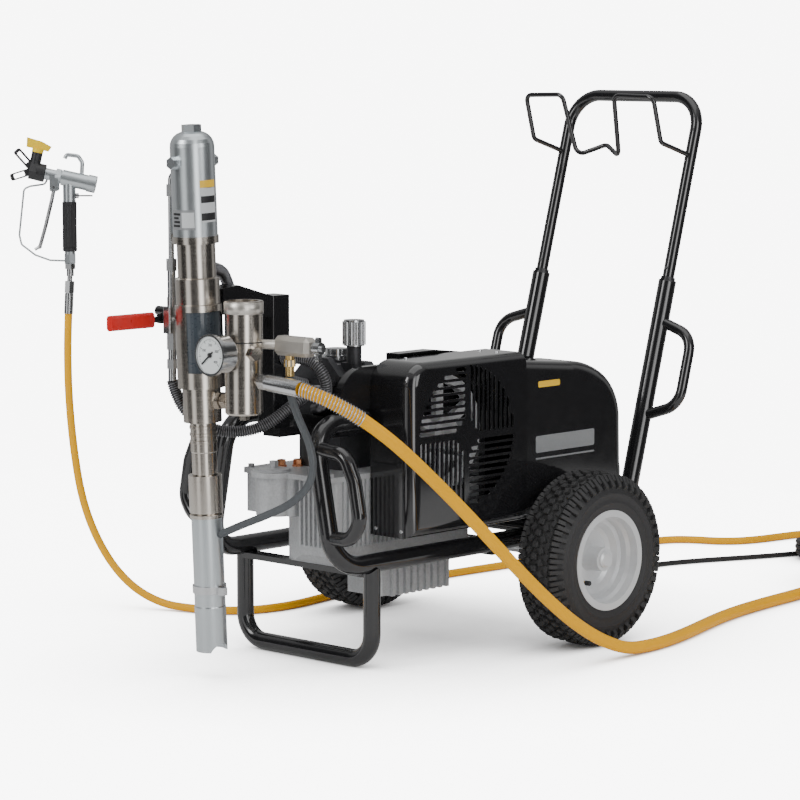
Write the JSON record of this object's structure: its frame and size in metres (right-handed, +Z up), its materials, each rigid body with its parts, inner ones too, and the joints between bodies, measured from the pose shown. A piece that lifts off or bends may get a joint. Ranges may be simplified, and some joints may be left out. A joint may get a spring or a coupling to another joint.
{
  "type": "airless paint sprayer",
  "caption": "Wheeled airless paint sprayer: leaning piston pump, belt-driven hydraulic unit, sliding handle, paint hose and spray gun.",
  "frame": {"origin": "centre of the bounding box of the machine and its gun, without the free hoses and cable, on the floor it stands on", "axes": "+X from the open side to the belt-cover side, +Y from the pump to the handle, +Z up"},
  "size_m": [1.4149, 2.1161, 0.969],
  "materials": {
    "black_paint": "gloss black powder coat",
    "silver_paint": "satin silver paint",
    "tyre": "block tread rubber",
    "cast_aluminium": "sand-cast, slightly rough",
    "dark_casting": "dark painted casting",
    "motor_grey": "painted finned casting",
    "cover_plastic": "glossy moulded cover",
    "cover_grey": "glossy dark grey moulding",
    "stainless": "turned stainless steel",
    "bright_aluminium": "turned and clear-coated",
    "zinc": "zinc-plated fittings",
    "brass": "plain",
    "yellow_hose": "smooth extruded jacket",
    "black_cable": "matt cable jacket",
    "grey_hose": "matt hose",
    "spring_hose": "hose inside a spring guard",
    "red_grip": "dipped vinyl grip",
    "yellow_plastic": "moulded key",
    "black_plastic": "moulded plastic",
    "belt_rubber": "ribbed belt"
  },
  "bodies": {
    "cart": {"side_tube_left": "black_paint", "side_tube_right": "black_paint", "cross_members": "black_paint", "foot_loop": "black_paint", "handle_bushings": "black_plastic", "axle": "zinc", "tank_body": "cast_aluminium", "tank_lid": "cast_aluminium", "sump": "cast_aluminium", "hydraulic_pump": "dark_casting", "valve_block": "dark_casting", "motor_body": "motor_grey", "drive_belt": "belt_rubber", "belt_cover_front": "cover_plastic", "belt_cover_rear": "cover_grey", "back_plate": "black_paint", "hydraulic_motor": "bright_aluminium", "pump_housing": "stainless", "fluid_section": "stainless", "suction_tube": "bright_aluminium", "hose_clamp": "zinc", "pump_bracket": "black_paint", "oil_line": "zinc", "ball_valve": "zinc", "filter_housing": "stainless", "gauge_case": "zinc", "relief_valve": "stainless", "return_hose": "grey_hose", "oil_hoses": "spring_hose", "main_hose": "yellow_hose", "main_hose_coil": "yellow_hose", "main_hose_fittings": "zinc", "whip_hose": "yellow_hose", "whip_fitting": "zinc", "power_cable": "black_cable", "power_cable_coil": "black_cable", "power_plug": "black_plastic"},
    "handle": {"handle_bow": "black_paint", "hose_rack": "black_paint"},
    "lock_button_left": {"lock_button_left": "zinc"},
    "lock_button_right": {"lock_button_right": "zinc"},
    "wheel_left": {"rim_left": "silver_paint", "tyre_left": "tyre"},
    "wheel_right": {"rim_right": "silver_paint", "tyre_right": "tyre"},
    "pressure_knob": {"pressure_knob": "black_plastic"},
    "filler_cap": {"filler_cap": "black_plastic"},
    "valve_lever": {"valve_lever": "black_paint", "valve_grip": "red_grip"},
    "relief_knob": {"relief_knob": "zinc"},
    "gauge_needle": {"gauge_needle": "black_plastic"},
    "piston_rod": {"piston_rod": "zinc"},
    "motor_rotor": {"motor_rotor": "zinc"},
    "pump_pulley": {"pump_pulley": "dark_casting"},
    "gun": {"gun_body": "bright_aluminium", "gun_grip": "black_plastic"},
    "gun_trigger": {"gun_trigger": "zinc"},
    "trigger_lock": {"trigger_lock": "zinc"},
    "tip_guard": {"tip_guard": "black_plastic"},
    "tip_key": {"tip_key": "yellow_plastic"}
  },
  "joints": [
    {"name": "handle_slide", "type": "slide", "parent": "cart", "child": "handle", "axis": [0, -0.2756, -0.9613], "range_m": [0, 0.22]},
    {"name": "lock_button_left_press", "type": "slide", "parent": "handle", "child": "lock_button_left", "axis": [0, 0.9613, -0.2756], "range_m": [0, 0.0035], "stiffness_N_per_m": 400},
    {"name": "lock_button_right_press", "type": "slide", "parent": "handle", "child": "lock_button_right", "axis": [0, 0.9613, -0.2756], "range_m": [0, 0.0035], "stiffness_N_per_m": 400},
    {"name": "wheel_left_spin", "type": "hinge", "parent": "cart", "child": "wheel_left", "pos_m": [-0.01608, 0.16697, 0.155], "axis": [1, 0, 0], "continuous": true},
    {"name": "wheel_right_spin", "type": "hinge", "parent": "cart", "child": "wheel_right", "pos_m": [0.53592, 0.16697, 0.155], "axis": [1, 0, 0], "continuous": true},
    {"name": "pressure_knob_turn", "type": "hinge", "parent": "cart", "child": "pressure_knob", "pos_m": [0.29692, -0.18503, 0.545], "axis": [0, 0, 1], "range_deg": [-270, 0]},
    {"name": "filler_cap_lift", "type": "slide", "parent": "cart", "child": "filler_cap", "axis": [0, 0, 1], "range_m": [0, 0.11]},
    {"name": "valve_lever_turn", "type": "hinge", "parent": "cart", "child": "valve_lever", "pos_m": [0.19992, -0.52103, 0.602], "axis": [1, 0, 0], "range_deg": [0, 90]},
    {"name": "relief_knob_turn", "type": "hinge", "parent": "cart", "child": "relief_knob", "pos_m": [0.47992, -0.46703, 0.57], "axis": [1, 0, 0], "range_deg": [0, 90]},
    {"name": "gauge_needle_turn", "type": "hinge", "parent": "cart", "child": "gauge_needle", "pos_m": [0.34992, -0.57603, 0.557], "axis": [0, -1, 0], "range_deg": [-85, 185]},
    {"name": "piston_rod_stroke", "type": "slide", "parent": "cart", "child": "piston_rod", "axis": [0, -0.0436, 0.999], "range_m": [-0.022, 0.038]},
    {"name": "pump_pulley_spin", "type": "hinge", "parent": "cart", "child": "pump_pulley", "pos_m": [0.38792, -0.07203, 0.388], "axis": [1, 0, 0], "continuous": true},
    {"name": "motor_spin", "type": "hinge", "parent": "cart", "child": "motor_rotor", "pos_m": [0.38792, 0.22897, 0.345], "axis": [1, 0, 0], "continuous": true},
    {"name": "gun_swivel", "type": "hinge", "parent": "cart", "child": "gun", "pos_m": [-0.49858, -0.14353, 0.661], "axis": [0, 0, 1], "continuous": true},
    {"name": "gun_trigger_pull", "type": "hinge", "parent": "gun", "child": "gun_trigger", "pos_m": [-0.51892, -0.16277, 0.787], "axis": [0.6871, -0.7266, 0], "range_deg": [0, 18], "stiffness_Nm_per_rad": 0.4},
    {"name": "trigger_lock_turn", "type": "hinge", "parent": "gun", "child": "trigger_lock", "pos_m": [-0.4855, -0.13117, 0.77], "axis": [-0.7266, -0.6871, 0], "range_deg": [0, 90]},
    {"name": "tip_guard_turn", "type": "hinge", "parent": "gun", "child": "tip_guard", "pos_m": [-0.54113, -0.18377, 0.81509], "axis": [-0.7091, -0.6705, 0.2181], "range_deg": [-90, 90]},
    {"name": "tip_key_turn", "type": "hinge", "parent": "tip_guard", "child": "tip_key", "pos_m": [-0.54117, -0.1838, 0.85609], "axis": [0.1585, 0.1499, 0.9759], "range_deg": [0, 180]}
  ],
  "couplings": [
    {"joint": "motor_spin", "follows": "pump_pulley_spin", "ratio": 2.5}
  ]
}
